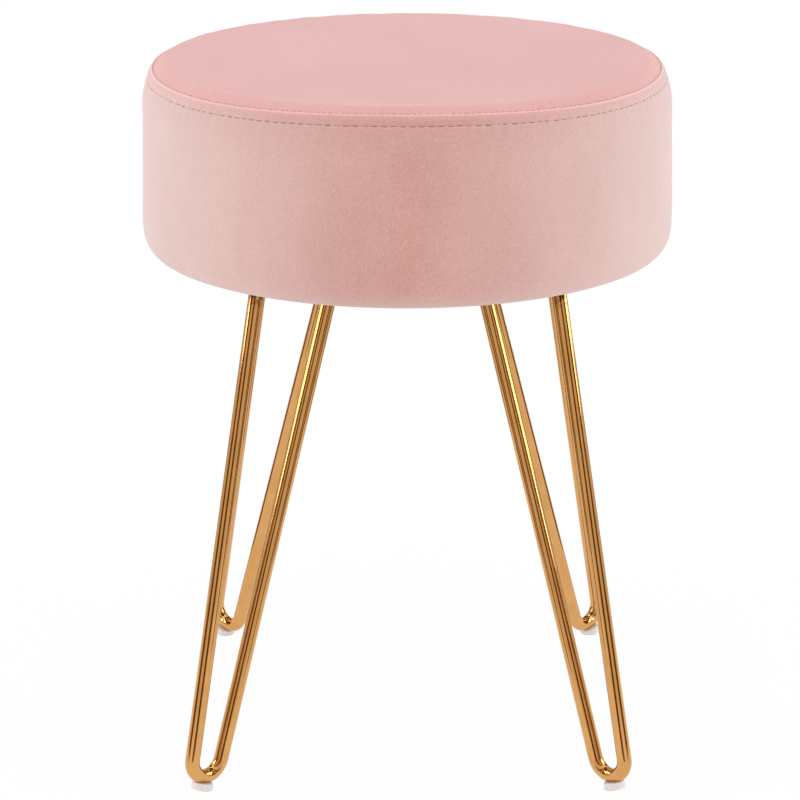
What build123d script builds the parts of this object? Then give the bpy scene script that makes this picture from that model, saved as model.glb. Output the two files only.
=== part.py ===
"""Round upholstered stool on four bent-rod legs.

Millimetres, +Z up. The origin is on the floor under the middle of the seat, and -Y is the front.
The seat is a plywood board with a foam block, wadding and a sewn velvet cover: a crowned top panel
and a straight side band. Each leg is one rod bent into a narrow V, standing in a plane through the
seat's axis, welded to a steel plate that four bolts hold to the board.
"""

import os
from math import acos, asin, atan2, cos, degrees, hypot, radians, sin, sqrt

from build123d import *

os.makedirs("parts", exist_ok=True)

# Seat cover
SEAT_RADIUS = 170.0
SEAT_BOTTOM = 332.0
BOTTOM_CORNER = 5.0
VELVET = 1.5
ROLL_START = 422.0
SEAM_RADIUS = 163.7
SEAM_HEIGHT = 446.5
SHOULDER_RADIUS = 149.5
SHOULDER_HEIGHT = 451.8
CROWN_HEIGHT = 453.3
EDGE_BULGE = 0.9
SEAM_ALLOWANCE = 9.0
HEM_INNER_RADIUS = 146.5

# Seat filling and board
WADDING = 5.0
BOARD_THICKNESS = 15.0
FOAM_TOP = 438.0
FOAM_EDGE = 6.0
WADDING_TOP = 436.5

# Dust cover and staples under the board
DUST_COVER = 0.8
DUST_COVER_RADIUS = 154.0
HEM_STAPLE_RADIUS = 150.2
HEM_STAPLE_COUNT = 24
COVER_STAPLE_RADIUS = 151.5
COVER_STAPLE_COUNT = 16
COVER_STAPLE_START = 12.5
STAPLE_CROWN = 10.0
STAPLE_WIRE = 0.7
STAPLE_LEG = 7.0

# Legs
LEG_NAMES = {"front_left": 225, "front_right": 315, "back_right": 45, "back_left": 135}
ROD_DIAMETER = 9.5
BEND_CENTRE_RADIUS = 183.0
BEND_RADIUS = 12.6
INNER_AIM_RADIUS = 58.7
OUTER_AIM_RADIUS = 129.3
AIM_HEIGHT = 340.0
WELD_RADIUS = 8.0
WELD_THROAT = 3.5
WELD_RIM = 0.4

# Foot pads
PAD_RADIUS = 7.0
PAD_UNDER_ROD = 3.2
PAD_LEAN = 15.0
PAD_SOLE = 3.65
PAD_HEIGHT = 6.4
PAD_EDGE = 1.0

# Leg plates, bolts and T-nuts
PLATE_INNER_END = 51.0
PLATE_OUTER_END = 142.0
PLATE_WIDTH = 38.0
PLATE_THICKNESS = 3.0
PLATE_CORNER = 6.0
BOLT_SPREAD_ALONG = 32.0
BOLT_SPREAD_ACROSS = 24.0
BOLT_HOLE_RADIUS = 3.4
BOLT_RADIUS = 2.9
BOLT_LENGTH = 15.0
BOLT_HEAD_RADIUS = 5.25
BOLT_HEAD_HEIGHT = 3.3
BOLT_SOCKET_WIDTH = 4.0
BOLT_SOCKET_DEPTH = 2.0
WASHER_RADIUS = 6.0
WASHER_THICKNESS = 1.2
NUT_BORE_RADIUS = 3.0
NUT_BARREL_RADIUS = 4.0
NUT_BARREL_LENGTH = 11.0
NUT_FLANGE_RADIUS = 9.0
NUT_FLANGE_THICKNESS = 1.5

# Levels that follow from the sizes above
BOARD_BOTTOM = SEAT_BOTTOM + VELVET
BOARD_TOP = BOARD_BOTTOM + BOARD_THICKNESS
BAND_INSIDE = SEAT_RADIUS - VELVET
BOARD_RADIUS = BAND_INSIDE - WADDING
PLATE_TOP = BOARD_BOTTOM - DUST_COVER
PLATE_BOTTOM = PLATE_TOP - PLATE_THICKNESS
ROD_RADIUS = ROD_DIAMETER / 2
BEND_CENTRE_HEIGHT = PAD_UNDER_ROD + ROD_RADIUS + BEND_RADIUS

# The shoulder of the band is an arc that starts upright and ends at the seam.
ROLL_IN = SEAT_RADIUS - SEAM_RADIUS
ROLL_UP = SEAM_HEIGHT - ROLL_START
ROLL_ANGLE = degrees(2 * atan2(ROLL_IN, ROLL_UP))
ROLL_RADIUS = ROLL_UP / sin(radians(ROLL_ANGLE))
ROLL_CENTRE = (SEAT_RADIUS - ROLL_RADIUS, ROLL_START)
ALLOWANCE_ANGLE = degrees(SEAM_ALLOWANCE / ROLL_RADIUS)

# The crown of the top panel is a shallow cap of a large sphere, inside its rolled edge.
CROWN_RISE = CROWN_HEIGHT - SHOULDER_HEIGHT
CROWN_RADIUS = (SHOULDER_RADIUS**2 + CROWN_RISE**2) / (2 * CROWN_RISE)
CROWN_CENTRE = (0, CROWN_HEIGHT - CROWN_RADIUS)
CROWN_ANGLE = degrees(asin(SHOULDER_RADIUS / CROWN_RADIUS))


def finish(piece, name):
    """Label a finished piece and write its STEP file."""
    piece.part.label = name
    export_step(piece.part, f"parts/{name}.step")


def on_roll(depth, angle):
    """A point of the seat's section, depth inside the shoulder arc, at an angle up from its start."""
    reach = ROLL_RADIUS - depth
    return (ROLL_CENTRE[0] + reach * cos(radians(angle)), ROLL_CENTRE[1] + reach * sin(radians(angle)))


def on_crown(depth, angle):
    """A point of the seat's section, depth inside the crown, at an angle out from the seat's axis."""
    reach = CROWN_RADIUS - depth
    return (reach * sin(radians(angle)), CROWN_CENTRE[1] + reach * cos(radians(angle)))


def edge_middle(outer, inner):
    """The middle of the top panel's rolled edge, bulging up and out from the line between its ends."""
    return ((outer[0] + inner[0]) / 2 + EDGE_BULGE / 2, (outer[1] + inner[1]) / 2 + EDGE_BULGE)


def leg_plane(angle):
    """The upright plane of one leg: local x is outwards from the seat's axis, local y is up."""
    outwards = (cos(radians(angle)), sin(radians(angle)), 0)
    across = (sin(radians(angle)), -cos(radians(angle)), 0)
    return Plane(origin=(0, 0, 0), x_dir=outwards, z_dir=across)


def plate_plane(angle, height):
    """A level plane at a height, with its x axis along one leg's plate and its origin at the middle."""
    middle = (PLATE_INNER_END + PLATE_OUTER_END) / 2
    outwards = (cos(radians(angle)), sin(radians(angle)), 0)
    return Plane(origin=(middle * outwards[0], middle * outwards[1], height), x_dir=outwards, z_dir=(0, 0, 1))


def pad_plane(angle):
    """The plane of one foot pad's sole, which leans outwards as the leg's V does; local z is up the V."""
    lean = radians(PAD_LEAN)
    depth = BEND_RADIUS + ROD_RADIUS + PAD_SOLE
    middle = (BEND_CENTRE_RADIUS + depth * sin(lean), BEND_CENTRE_HEIGHT - depth * cos(lean), 0)
    up_the_v = (-sin(lean) * cos(radians(angle)), -sin(lean) * sin(radians(angle)), cos(lean))
    return Plane(origin=leg_plane(angle).from_local_coords(middle), z_dir=up_the_v)


def bolt_points(height):
    """The sixteen bolt positions, four on each plate, at a height."""
    points = []
    for angle in LEG_NAMES.values():
        plane = plate_plane(angle, height)
        for along in (-BOLT_SPREAD_ALONG / 2, BOLT_SPREAD_ALONG / 2):
            for across in (-BOLT_SPREAD_ACROSS / 2, BOLT_SPREAD_ACROSS / 2):
                points.append(plane.from_local_coords((along, across, 0)))
    return points


def tangent_angle(aim_radius, side):
    """Angle on the bend, in degrees, where a straight run from its aim point touches the bend's arc."""
    out = aim_radius - BEND_CENTRE_RADIUS
    up = AIM_HEIGHT - BEND_CENTRE_HEIGHT
    return degrees(atan2(up, out) + side * acos(BEND_RADIUS / hypot(out, up)))


def run_direction(tangent):
    """Upward direction of a straight run in the leg's plane, square to the bend's radius there."""
    direction = (-sin(radians(tangent)), cos(radians(tangent)))
    return direction if direction[1] > 0 else (-direction[0], -direction[1])


INNER_TANGENT = tangent_angle(INNER_AIM_RADIUS, 1)
OUTER_TANGENT = tangent_angle(OUTER_AIM_RADIUS, -1)


def on_bend(angle):
    """A point of the bend's centre line, at an angle in degrees, in the leg's plane."""
    return (
        BEND_CENTRE_RADIUS + BEND_RADIUS * cos(radians(angle)),
        BEND_CENTRE_HEIGHT + BEND_RADIUS * sin(radians(angle)),
    )


def leg_centre_line(angle):
    """Centre line of one leg: down the inner run, round the bend and up the outer run."""
    with BuildLine(leg_plane(angle)) as line:
        Line((INNER_AIM_RADIUS, AIM_HEIGHT), on_bend(INNER_TANGENT))
        CenterArc(
            (BEND_CENTRE_RADIUS, BEND_CENTRE_HEIGHT),
            BEND_RADIUS,
            INNER_TANGENT,
            360 + OUTER_TANGENT - INNER_TANGENT,
        )
        Line(on_bend(OUTER_TANGENT), (OUTER_AIM_RADIUS, AIM_HEIGHT))
    return line.wire()


# Velvet top panel: crowned, rolled at its edge, with its seam allowance turned down inside the band
seam = (SEAM_RADIUS, SEAM_HEIGHT)
seam_inside = on_roll(VELVET, ROLL_ANGLE)
edge_inside = on_roll(2 * VELVET, ROLL_ANGLE)
shoulder = on_crown(0, CROWN_ANGLE)
shoulder_inside = on_crown(VELVET, CROWN_ANGLE)
allowance_end = ROLL_ANGLE - ALLOWANCE_ANGLE
allowance_middle = ROLL_ANGLE - ALLOWANCE_ANGLE / 2

with BuildPart() as top_panel:
    with BuildSketch(Plane.XZ):
        with BuildLine():
            ThreePointArc(seam, edge_middle(seam, shoulder), shoulder)
            CenterArc(CROWN_CENTRE, CROWN_RADIUS, 90 - CROWN_ANGLE, CROWN_ANGLE)
            Line(on_crown(0, 0), on_crown(VELVET, 0))
            CenterArc(CROWN_CENTRE, CROWN_RADIUS - VELVET, 90 - CROWN_ANGLE, CROWN_ANGLE)
            ThreePointArc(shoulder_inside, edge_middle(edge_inside, shoulder_inside), edge_inside)
            ThreePointArc(edge_inside, on_roll(2 * VELVET, allowance_middle), on_roll(2 * VELVET, allowance_end))
            Line(on_roll(2 * VELVET, allowance_end), on_roll(VELVET, allowance_end))
            ThreePointArc(on_roll(VELVET, allowance_end), on_roll(VELVET, allowance_middle), seam_inside)
            Line(seam_inside, seam)
        make_face()
    revolve(axis=Axis.Z)
finish(top_panel, "top_panel")

# Staples in the hem of the band, driven flush with the velvet
with BuildPart(Plane.XY.offset(SEAT_BOTTOM)) as hem_staples:
    with PolarLocations(HEM_STAPLE_RADIUS, HEM_STAPLE_COUNT, start_angle=180 / HEM_STAPLE_COUNT):
        Box(STAPLE_WIRE, STAPLE_CROWN, STAPLE_WIRE, align=(Align.CENTER, Align.CENTER, Align.MIN))
        with GridLocations(0, STAPLE_CROWN - STAPLE_WIRE, 1, 2):
            Box(STAPLE_WIRE, STAPLE_WIRE, STAPLE_LEG, align=(Align.CENTER, Align.CENTER, Align.MIN))
finish(hem_staples, "hem_staples")

# Staples that hold the dust cover, lying on its rim
with BuildPart(Plane.XY.offset(SEAT_BOTTOM - DUST_COVER - STAPLE_WIRE)) as dust_cover_staples:
    with PolarLocations(COVER_STAPLE_RADIUS, COVER_STAPLE_COUNT, start_angle=COVER_STAPLE_START):
        Box(STAPLE_WIRE, STAPLE_CROWN, STAPLE_WIRE, align=(Align.CENTER, Align.CENTER, Align.MIN))
        with GridLocations(0, STAPLE_CROWN - STAPLE_WIRE, 1, 2):
            Box(STAPLE_WIRE, STAPLE_WIRE, STAPLE_LEG, align=(Align.CENTER, Align.CENTER, Align.MIN))
finish(dust_cover_staples, "dust_cover_staples")

# Velvet side band: straight, rolled in to the seam above and turned under the board below
corner_middle = BOTTOM_CORNER * (1 - sqrt(0.5))
with BuildPart() as side_band:
    with BuildSketch(Plane.XZ):
        with BuildLine():
            Line((HEM_INNER_RADIUS, SEAT_BOTTOM), (SEAT_RADIUS - BOTTOM_CORNER, SEAT_BOTTOM))
            ThreePointArc(
                (SEAT_RADIUS - BOTTOM_CORNER, SEAT_BOTTOM),
                (SEAT_RADIUS - corner_middle, SEAT_BOTTOM + corner_middle),
                (SEAT_RADIUS, SEAT_BOTTOM + BOTTOM_CORNER),
            )
            Line((SEAT_RADIUS, SEAT_BOTTOM + BOTTOM_CORNER), (SEAT_RADIUS, ROLL_START))
            ThreePointArc((SEAT_RADIUS, ROLL_START), on_roll(0, ROLL_ANGLE / 2), (SEAM_RADIUS, SEAM_HEIGHT))
            Line((SEAM_RADIUS, SEAM_HEIGHT), seam_inside)
            ThreePointArc(seam_inside, on_roll(VELVET, ROLL_ANGLE / 2), (BAND_INSIDE, ROLL_START))
            Line((BAND_INSIDE, ROLL_START), (BAND_INSIDE, SEAT_BOTTOM + BOTTOM_CORNER))
            ThreePointArc(
                (BAND_INSIDE, SEAT_BOTTOM + BOTTOM_CORNER),
                (
                    SEAT_RADIUS - BOTTOM_CORNER + (BOTTOM_CORNER - VELVET) * sqrt(0.5),
                    SEAT_BOTTOM + BOTTOM_CORNER - (BOTTOM_CORNER - VELVET) * sqrt(0.5),
                ),
                (SEAT_RADIUS - BOTTOM_CORNER, BOARD_BOTTOM),
            )
            Line((SEAT_RADIUS - BOTTOM_CORNER, BOARD_BOTTOM), (HEM_INNER_RADIUS, BOARD_BOTTOM))
            Line((HEM_INNER_RADIUS, BOARD_BOTTOM), (HEM_INNER_RADIUS, SEAT_BOTTOM))
        make_face()
    revolve(axis=Axis.Z)
    add(hem_staples.part, mode=Mode.SUBTRACT)
    add(dust_cover_staples.part, mode=Mode.SUBTRACT)
finish(side_band, "side_band")

# Wadding strip between the foam and the side band
with BuildPart() as side_wadding:
    with BuildSketch(Plane.XZ):
        with BuildLine():
            wadding_top_angle = degrees(atan2(WADDING_TOP - ROLL_START, ROLL_RADIUS - VELVET))
            Line((BOARD_RADIUS, BOARD_BOTTOM), (SEAT_RADIUS - BOTTOM_CORNER, BOARD_BOTTOM))
            ThreePointArc(
                (SEAT_RADIUS - BOTTOM_CORNER, BOARD_BOTTOM),
                (
                    SEAT_RADIUS - BOTTOM_CORNER + (BOTTOM_CORNER - VELVET) * sqrt(0.5),
                    SEAT_BOTTOM + BOTTOM_CORNER - (BOTTOM_CORNER - VELVET) * sqrt(0.5),
                ),
                (BAND_INSIDE, SEAT_BOTTOM + BOTTOM_CORNER),
            )
            Line((BAND_INSIDE, SEAT_BOTTOM + BOTTOM_CORNER), (BAND_INSIDE, ROLL_START))
            ThreePointArc(
                (BAND_INSIDE, ROLL_START),
                on_roll(VELVET, wadding_top_angle / 2),
                on_roll(VELVET, wadding_top_angle),
            )
            Line(on_roll(VELVET, wadding_top_angle), (BOARD_RADIUS, on_roll(VELVET, wadding_top_angle)[1]))
            Line((BOARD_RADIUS, on_roll(VELVET, wadding_top_angle)[1]), (BOARD_RADIUS, BOARD_BOTTOM))
        make_face()
    revolve(axis=Axis.Z)
finish(side_wadding, "side_wadding")

# Foam block on the board
with BuildPart() as foam_block:
    with BuildSketch(Plane.XY.offset(BOARD_TOP)):
        Circle(BOARD_RADIUS)
    extrude(amount=FOAM_TOP - BOARD_TOP)
    fillet(foam_block.edges().sort_by(Axis.Z)[-1], FOAM_EDGE)
finish(foam_block, "foam_block")

# Wadding pad that crowns the top panel
pad_shoulder = on_roll(2 * VELVET, allowance_middle)
with BuildPart() as top_wadding:
    with BuildSketch(Plane.XZ):
        with BuildLine():
            Line((0, FOAM_TOP), (BOARD_RADIUS - FOAM_EDGE, FOAM_TOP))
            Line((BOARD_RADIUS - FOAM_EDGE, FOAM_TOP), pad_shoulder)
            Line(pad_shoulder, edge_inside)
            ThreePointArc(edge_inside, edge_middle(edge_inside, shoulder_inside), shoulder_inside)
            CenterArc(CROWN_CENTRE, CROWN_RADIUS - VELVET, 90 - CROWN_ANGLE, CROWN_ANGLE)
            Line(on_crown(VELVET, 0), (0, FOAM_TOP))
        make_face()
    revolve(axis=Axis.Z)
finish(top_wadding, "top_wadding")

# Plywood board, drilled for the T-nuts and pierced by the staples
with BuildPart() as seat_board:
    with BuildSketch(Plane.XY.offset(BOARD_BOTTOM)):
        Circle(BOARD_RADIUS)
    extrude(amount=BOARD_THICKNESS)
    with Locations(*bolt_points(BOARD_TOP)):
        CounterBoreHole(NUT_BARREL_RADIUS, NUT_FLANGE_RADIUS, NUT_FLANGE_THICKNESS, BOARD_THICKNESS)
    add(hem_staples.part, mode=Mode.SUBTRACT)
    add(dust_cover_staples.part, mode=Mode.SUBTRACT)
finish(seat_board, "seat_board")

# T-nuts let into the top of the board
with BuildPart() as t_nuts:
    with Locations(*bolt_points(BOARD_TOP)):
        Cylinder(
            NUT_FLANGE_RADIUS, NUT_FLANGE_THICKNESS, align=(Align.CENTER, Align.CENTER, Align.MAX)
        )
        Cylinder(NUT_BARREL_RADIUS, NUT_BARREL_LENGTH, align=(Align.CENTER, Align.CENTER, Align.MAX))
        Cylinder(
            NUT_BORE_RADIUS,
            NUT_BARREL_LENGTH,
            align=(Align.CENTER, Align.CENTER, Align.MAX),
            mode=Mode.SUBTRACT,
        )
finish(t_nuts, "t_nuts")

# Dust cover: flat against the board, stepping down over the hem to a stapled rim
with BuildPart() as dust_cover:
    with BuildSketch(Plane.XZ):
        with BuildLine():
            Polyline(
                (0, BOARD_BOTTOM),
                (HEM_INNER_RADIUS, BOARD_BOTTOM),
                (HEM_INNER_RADIUS, SEAT_BOTTOM),
                (DUST_COVER_RADIUS, SEAT_BOTTOM),
                (DUST_COVER_RADIUS, SEAT_BOTTOM - DUST_COVER),
                (HEM_INNER_RADIUS - DUST_COVER, SEAT_BOTTOM - DUST_COVER),
                (HEM_INNER_RADIUS - DUST_COVER, BOARD_BOTTOM - DUST_COVER),
                (0, BOARD_BOTTOM - DUST_COVER),
                close=True,
            )
        make_face()
    revolve(axis=Axis.Z)
    with Locations(*bolt_points(BOARD_BOTTOM)):
        Hole(BOLT_HOLE_RADIUS)
    add(dust_cover_staples.part, mode=Mode.SUBTRACT)
finish(dust_cover, "dust_cover")

# Button-head bolts through the plates into the T-nuts
with BuildPart() as leg_bolts:
    with Locations(*bolt_points(PLATE_BOTTOM - WASHER_THICKNESS)):
        Cylinder(BOLT_HEAD_RADIUS, BOLT_HEAD_HEIGHT, align=(Align.CENTER, Align.CENTER, Align.MAX))
        Cylinder(BOLT_RADIUS, BOLT_LENGTH, align=(Align.CENTER, Align.CENTER, Align.MIN))
    chamfer(leg_bolts.edges().filter_by(GeomType.CIRCLE).group_by(Axis.Z)[0], BOLT_HEAD_HEIGHT / 2)
    with BuildSketch(Plane.XY.offset(PLATE_BOTTOM - WASHER_THICKNESS - BOLT_HEAD_HEIGHT)):
        with Locations(*bolt_points(0)):
            RegularPolygon(BOLT_SOCKET_WIDTH / 2, 6, major_radius=False)
    extrude(amount=BOLT_SOCKET_DEPTH, mode=Mode.SUBTRACT)
finish(leg_bolts, "leg_bolts")

# Flat washers under the bolt heads
with BuildPart() as leg_washers:
    with Locations(*bolt_points(PLATE_BOTTOM)):
        Cylinder(WASHER_RADIUS, WASHER_THICKNESS, align=(Align.CENTER, Align.CENTER, Align.MAX))
        Cylinder(
            BOLT_HOLE_RADIUS,
            WASHER_THICKNESS,
            align=(Align.CENTER, Align.CENTER, Align.MAX),
            mode=Mode.SUBTRACT,
        )
finish(leg_washers, "leg_washers")

for leg, leg_angle in LEG_NAMES.items():
    # Rod: one length bent into a V, its two ends cut level at the plate
    centre_line = leg_centre_line(leg_angle)
    with BuildPart() as leg_rod:
        with BuildSketch(Plane(origin=centre_line @ 0, z_dir=centre_line % 0)):
            Circle(ROD_RADIUS)
        sweep(path=centre_line)
        split(bisect_by=Plane.XY.offset(PLATE_BOTTOM), keep=Keep.BOTTOM)
    finish(leg_rod, f"leg_rod_{leg}")

    # Plate: flat steel with rounded corners and four bolt holes
    with BuildPart() as leg_plate:
        with BuildSketch(plate_plane(leg_angle, PLATE_BOTTOM)):
            RectangleRounded(PLATE_OUTER_END - PLATE_INNER_END, PLATE_WIDTH, PLATE_CORNER)
            with GridLocations(BOLT_SPREAD_ALONG, BOLT_SPREAD_ACROSS, 2, 2):
                Circle(BOLT_HOLE_RADIUS, mode=Mode.SUBTRACT)
        extrude(amount=PLATE_THICKNESS)
    finish(leg_plate, f"leg_plate_{leg}")

    # Welds: a sloping bead round each rod end, under the plate
    with BuildPart() as leg_welds:
        for aim_radius, tangent in ((INNER_AIM_RADIUS, INNER_TANGENT), (OUTER_AIM_RADIUS, OUTER_TANGENT)):
            direction = run_direction(tangent)
            drop = AIM_HEIGHT - PLATE_BOTTOM
            rod_end = leg_plane(leg_angle).from_local_coords(
                (aim_radius - drop * direction[0] / direction[1], PLATE_BOTTOM, 0)
            )
            outwards = Vector(cos(radians(leg_angle)), sin(radians(leg_angle)), 0)
            along_rod = outwards * direction[0] + Vector(0, 0, direction[1])
            with Locations(Plane(origin=rod_end, z_dir=along_rod).location):
                with Locations((0, 0, -WELD_THROAT)):
                    Cone(
                        ROD_RADIUS + WELD_RIM,
                        WELD_RADIUS + WELD_THROAT,
                        2 * WELD_THROAT,
                        align=(Align.CENTER, Align.CENTER, Align.MIN),
                    )
        split(bisect_by=Plane.XY.offset(PLATE_BOTTOM), keep=Keep.BOTTOM)
        add(leg_rod.part, mode=Mode.SUBTRACT)
    finish(leg_welds, f"leg_welds_{leg}")

    # Foot pad: a round plastic pad that the bend of the rod sits in, in line with the V, flat where it stands
    with BuildPart() as foot_pad:
        with BuildSketch(pad_plane(leg_angle)):
            Circle(PAD_RADIUS)
        extrude(amount=PAD_HEIGHT)
        fillet(foot_pad.edges().filter_by(GeomType.CIRCLE), PAD_EDGE)
        split(bisect_by=Plane.XY, keep=Keep.TOP)
        add(leg_rod.part, mode=Mode.SUBTRACT)
    finish(foot_pad, f"foot_pad_{leg}")
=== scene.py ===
# %% [markdown]
# A round velvet stool on bent gold rods
#
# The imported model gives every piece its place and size. This lesson dresses it: each soft or polished
# piece becomes a surface worked out with numpy, and every piece gets a finish made of shader nodes.

# %% Load the frame
import math

import bpy
import numpy as np
from mathutils import Matrix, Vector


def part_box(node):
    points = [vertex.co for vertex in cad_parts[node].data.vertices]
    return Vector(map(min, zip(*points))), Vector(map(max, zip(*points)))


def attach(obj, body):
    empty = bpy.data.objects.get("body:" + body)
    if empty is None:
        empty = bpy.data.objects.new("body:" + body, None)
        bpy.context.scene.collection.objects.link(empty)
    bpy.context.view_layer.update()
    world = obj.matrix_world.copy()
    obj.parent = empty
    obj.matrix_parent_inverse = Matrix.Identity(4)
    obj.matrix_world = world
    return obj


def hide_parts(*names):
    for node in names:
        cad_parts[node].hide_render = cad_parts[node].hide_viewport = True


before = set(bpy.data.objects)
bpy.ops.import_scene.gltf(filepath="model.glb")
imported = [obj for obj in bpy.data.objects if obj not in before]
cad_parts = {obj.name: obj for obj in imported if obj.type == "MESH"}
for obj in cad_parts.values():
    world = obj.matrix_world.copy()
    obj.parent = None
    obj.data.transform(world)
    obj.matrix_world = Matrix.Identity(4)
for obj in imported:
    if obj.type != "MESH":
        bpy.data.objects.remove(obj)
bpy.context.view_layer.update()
scene = bpy.context.scene
scene.view_settings.view_transform = "Standard"
MM = 0.001

# %% [markdown]
# Sizes
#
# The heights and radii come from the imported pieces. Of the values that a box can't tell, most repeat
# the part's own sizes, such as the height where the band starts to roll in. The panel's shoulder, the
# band's lower corner and the sag of its hem follow the photograph more closely than the solids do.

# %% Read the seat's and the legs' sizes
seat_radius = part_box("side_band")[1][0]
seat_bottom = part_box("side_band")[0][2]
seam_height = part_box("side_band")[1][2]
crown_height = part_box("top_panel")[1][2]
board_bottom, board_top = (corner[2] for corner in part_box("seat_board"))
board_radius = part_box("seat_board")[1][0]
plate_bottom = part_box("leg_plate_front_left")[0][2]
cover_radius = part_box("dust_cover")[1][0]
cover_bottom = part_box("dust_cover")[0][2]
seam_radius = 163.7 * MM
roll_start = 422.0 * MM
shoulder_radius = 153.5 * MM
shoulder_height = 451.2 * MM
corner_in, corner_up = 8.0 * MM, 16.0 * MM
hem_sag = 1.5 * MM
hem_inner_radius = 146.5 * MM
velvet = 1.5 * MM
roll_in = seat_radius - seam_radius
roll_up = seam_height - roll_start
roll_angle = 2 * math.atan2(roll_in, roll_up)
roll_radius = roll_up / math.sin(roll_angle)
leg_angles = {"front_left": 225, "front_right": 315, "back_right": 45, "back_left": 135}
print("seat radius", round(seat_radius, 4), "bottom", round(seat_bottom, 4))
print("seam at", round(seam_height, 4), "crown at", round(crown_height, 4))


# %% [markdown]
# Surfaces on a grid
#
# Every new piece is a grid of points: rows along one parameter, columns along the other. One helper
# turns such a grid into a mesh. A grid can close round in either direction, and an open end can be
# capped by a fan of triangles, so that poles are closed.

# %% Helpers that turn grids of points into meshes
def add_piece(name, points, faces, material=None, slot=None):
    """Make a smooth object from points and faces. A piece with a slot belongs to the stool and rides
    on its body."""
    mesh = bpy.data.meshes.new(name)
    mesh.from_pydata(points, [], faces)
    mesh.polygons.foreach_set("use_smooth", np.ones(len(mesh.polygons), dtype=bool))
    mesh.validate()
    mesh.update()
    piece = bpy.data.objects.new(name, mesh)
    scene.collection.objects.link(piece)
    if material:
        mesh.materials.append(material)
    if slot:
        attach(piece, "root")
    print(name, len(mesh.vertices), "points", len(mesh.polygons), "faces")
    return piece


def grid_faces(rows, columns, wrap_rows, wrap_columns):
    """Quads of a grid as rows of four point numbers; wrapping joins the last row or column to the first."""
    i = np.arange(rows if wrap_rows else rows - 1)[:, None]
    j = np.arange(columns if wrap_columns else columns - 1)[None, :]
    a = i * columns + j
    b = i * columns + (j + 1) % columns
    c = ((i + 1) % rows) * columns + (j + 1) % columns
    d = ((i + 1) % rows) * columns + j
    return np.stack([a, b, c, d], axis=-1).reshape(-1, 4)


def surface(
    name, points, wrap_rows=False, wrap_columns=True, caps=(), material=None, slot=None, flip=False
):
    """Make an object from a grid of points, shaped (rows, columns, 3). caps names "first" or "last" rows
    that are closed with a fan round their middle. flip turns the faces over."""
    rows, columns = points.shape[:2]
    vertices = points.reshape(-1, 3)
    faces = grid_faces(rows, columns, wrap_rows, wrap_columns).tolist()
    for cap in caps:
        row = 0 if cap == "first" else rows - 1
        middle = len(vertices)
        vertices = np.vstack([vertices, points[row].mean(axis=0)])
        ring = row * columns + np.arange(columns)
        following = np.roll(ring, -1)
        pair = (following, ring) if cap == "first" else (ring, following)
        faces += np.stack([pair[0], pair[1], np.full(columns, middle)], axis=-1).tolist()
    if flip:
        faces = [face[::-1] for face in faces]
    return add_piece(name, vertices.tolist(), faces, material, slot)


def revolve(section, columns):
    """Turn a section, rows of (radius, height), round the Z axis into a grid of points."""
    turn = np.linspace(0, 2 * np.pi, columns, endpoint=False)
    r, z = section[:, 0][:, None], section[:, 1][:, None]
    return np.stack([r * np.cos(turn), r * np.sin(turn), z + 0 * turn], axis=-1)


def arc(centre, radius, start, end, count):
    """Points on a circle of a section, from a start to an end angle in radians."""
    a = np.linspace(start, end, count)
    return np.stack([centre[0] + radius * np.cos(a), centre[1] + radius * np.sin(a)], axis=-1)


def line(start, end, count):
    """Evenly spaced points of a section from start to end."""
    t = np.linspace(0, 1, count)[:, None]
    return np.asarray(start) * (1 - t) + np.asarray(end) * t


def join(*stretches):
    """Stretches of one section joined end to end, leaving out the repeated points."""
    return np.vstack([stretches[0]] + [s[1:] for s in stretches[1:]])


# %% [markdown]
# Finishes
#
# A finish is a Principled shader whose colour, roughness and bump come from noise in Object
# coordinates, so that it holds still on the piece. Short helpers add one node each. Values that are
# the same all over are set on the shader itself.

# %% Helpers for shader nodes
def finish(name, **constants):
    """A new material with a Principled shader, whose sockets take the given constants."""
    material = bpy.data.materials.new(name)
    material.use_nodes = True
    shader = material.node_tree.nodes["Principled BSDF"]
    for socket, value in constants.items():
        shader.inputs[socket.replace("_", " ")].default_value = value
    return material, material.node_tree, shader


def noise(tree, scale, stretch=(1, 1, 1), detail=2.0, roughness=0.5):
    """Noise in Object coordinates: scale is in features per metre, and stretch multiplies it along
    x, y and z."""
    where = tree.nodes.new("ShaderNodeTexCoord")
    mapping = tree.nodes.new("ShaderNodeMapping")
    mapping.inputs["Scale"].default_value = stretch
    texture = tree.nodes.new("ShaderNodeTexNoise")
    texture.inputs["Scale"].default_value = scale
    texture.inputs["Detail"].default_value = detail
    texture.inputs["Roughness"].default_value = roughness
    tree.links.new(where.outputs["Object"], mapping.inputs["Vector"])
    tree.links.new(mapping.outputs["Vector"], texture.inputs["Vector"])
    return texture.outputs["Fac"]


def spread(tree, value, low, high, to_low=0.0, to_high=1.0):
    """Map a value from low..high onto to_low..to_high, clamped."""
    node = tree.nodes.new("ShaderNodeMapRange")
    for socket, number in zip(("From Min", "From Max", "To Min", "To Max"), (low, high, to_low, to_high)):
        node.inputs[socket].default_value = number
    tree.links.new(value, node.inputs["Value"])
    return node.outputs["Result"]


def blend_colours(tree, factor, first, second):
    """Mix two colours, or a colour socket and a colour, by a factor socket."""
    node = tree.nodes.new("ShaderNodeMix")
    node.data_type = "RGBA"
    tree.links.new(factor, node.inputs["Factor"])
    for socket, colour in ((node.inputs[6], first), (node.inputs[7], second)):
        if isinstance(colour, tuple):
            socket.default_value = colour + (1.0,)
        else:
            tree.links.new(colour, socket)
    return node.outputs[2]


def two_tone(tree, shader, factor, first, second):
    """Colour the shader between two colours by a factor socket."""
    tree.links.new(blend_colours(tree, factor, first, second), shader.inputs["Base Color"])


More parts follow.
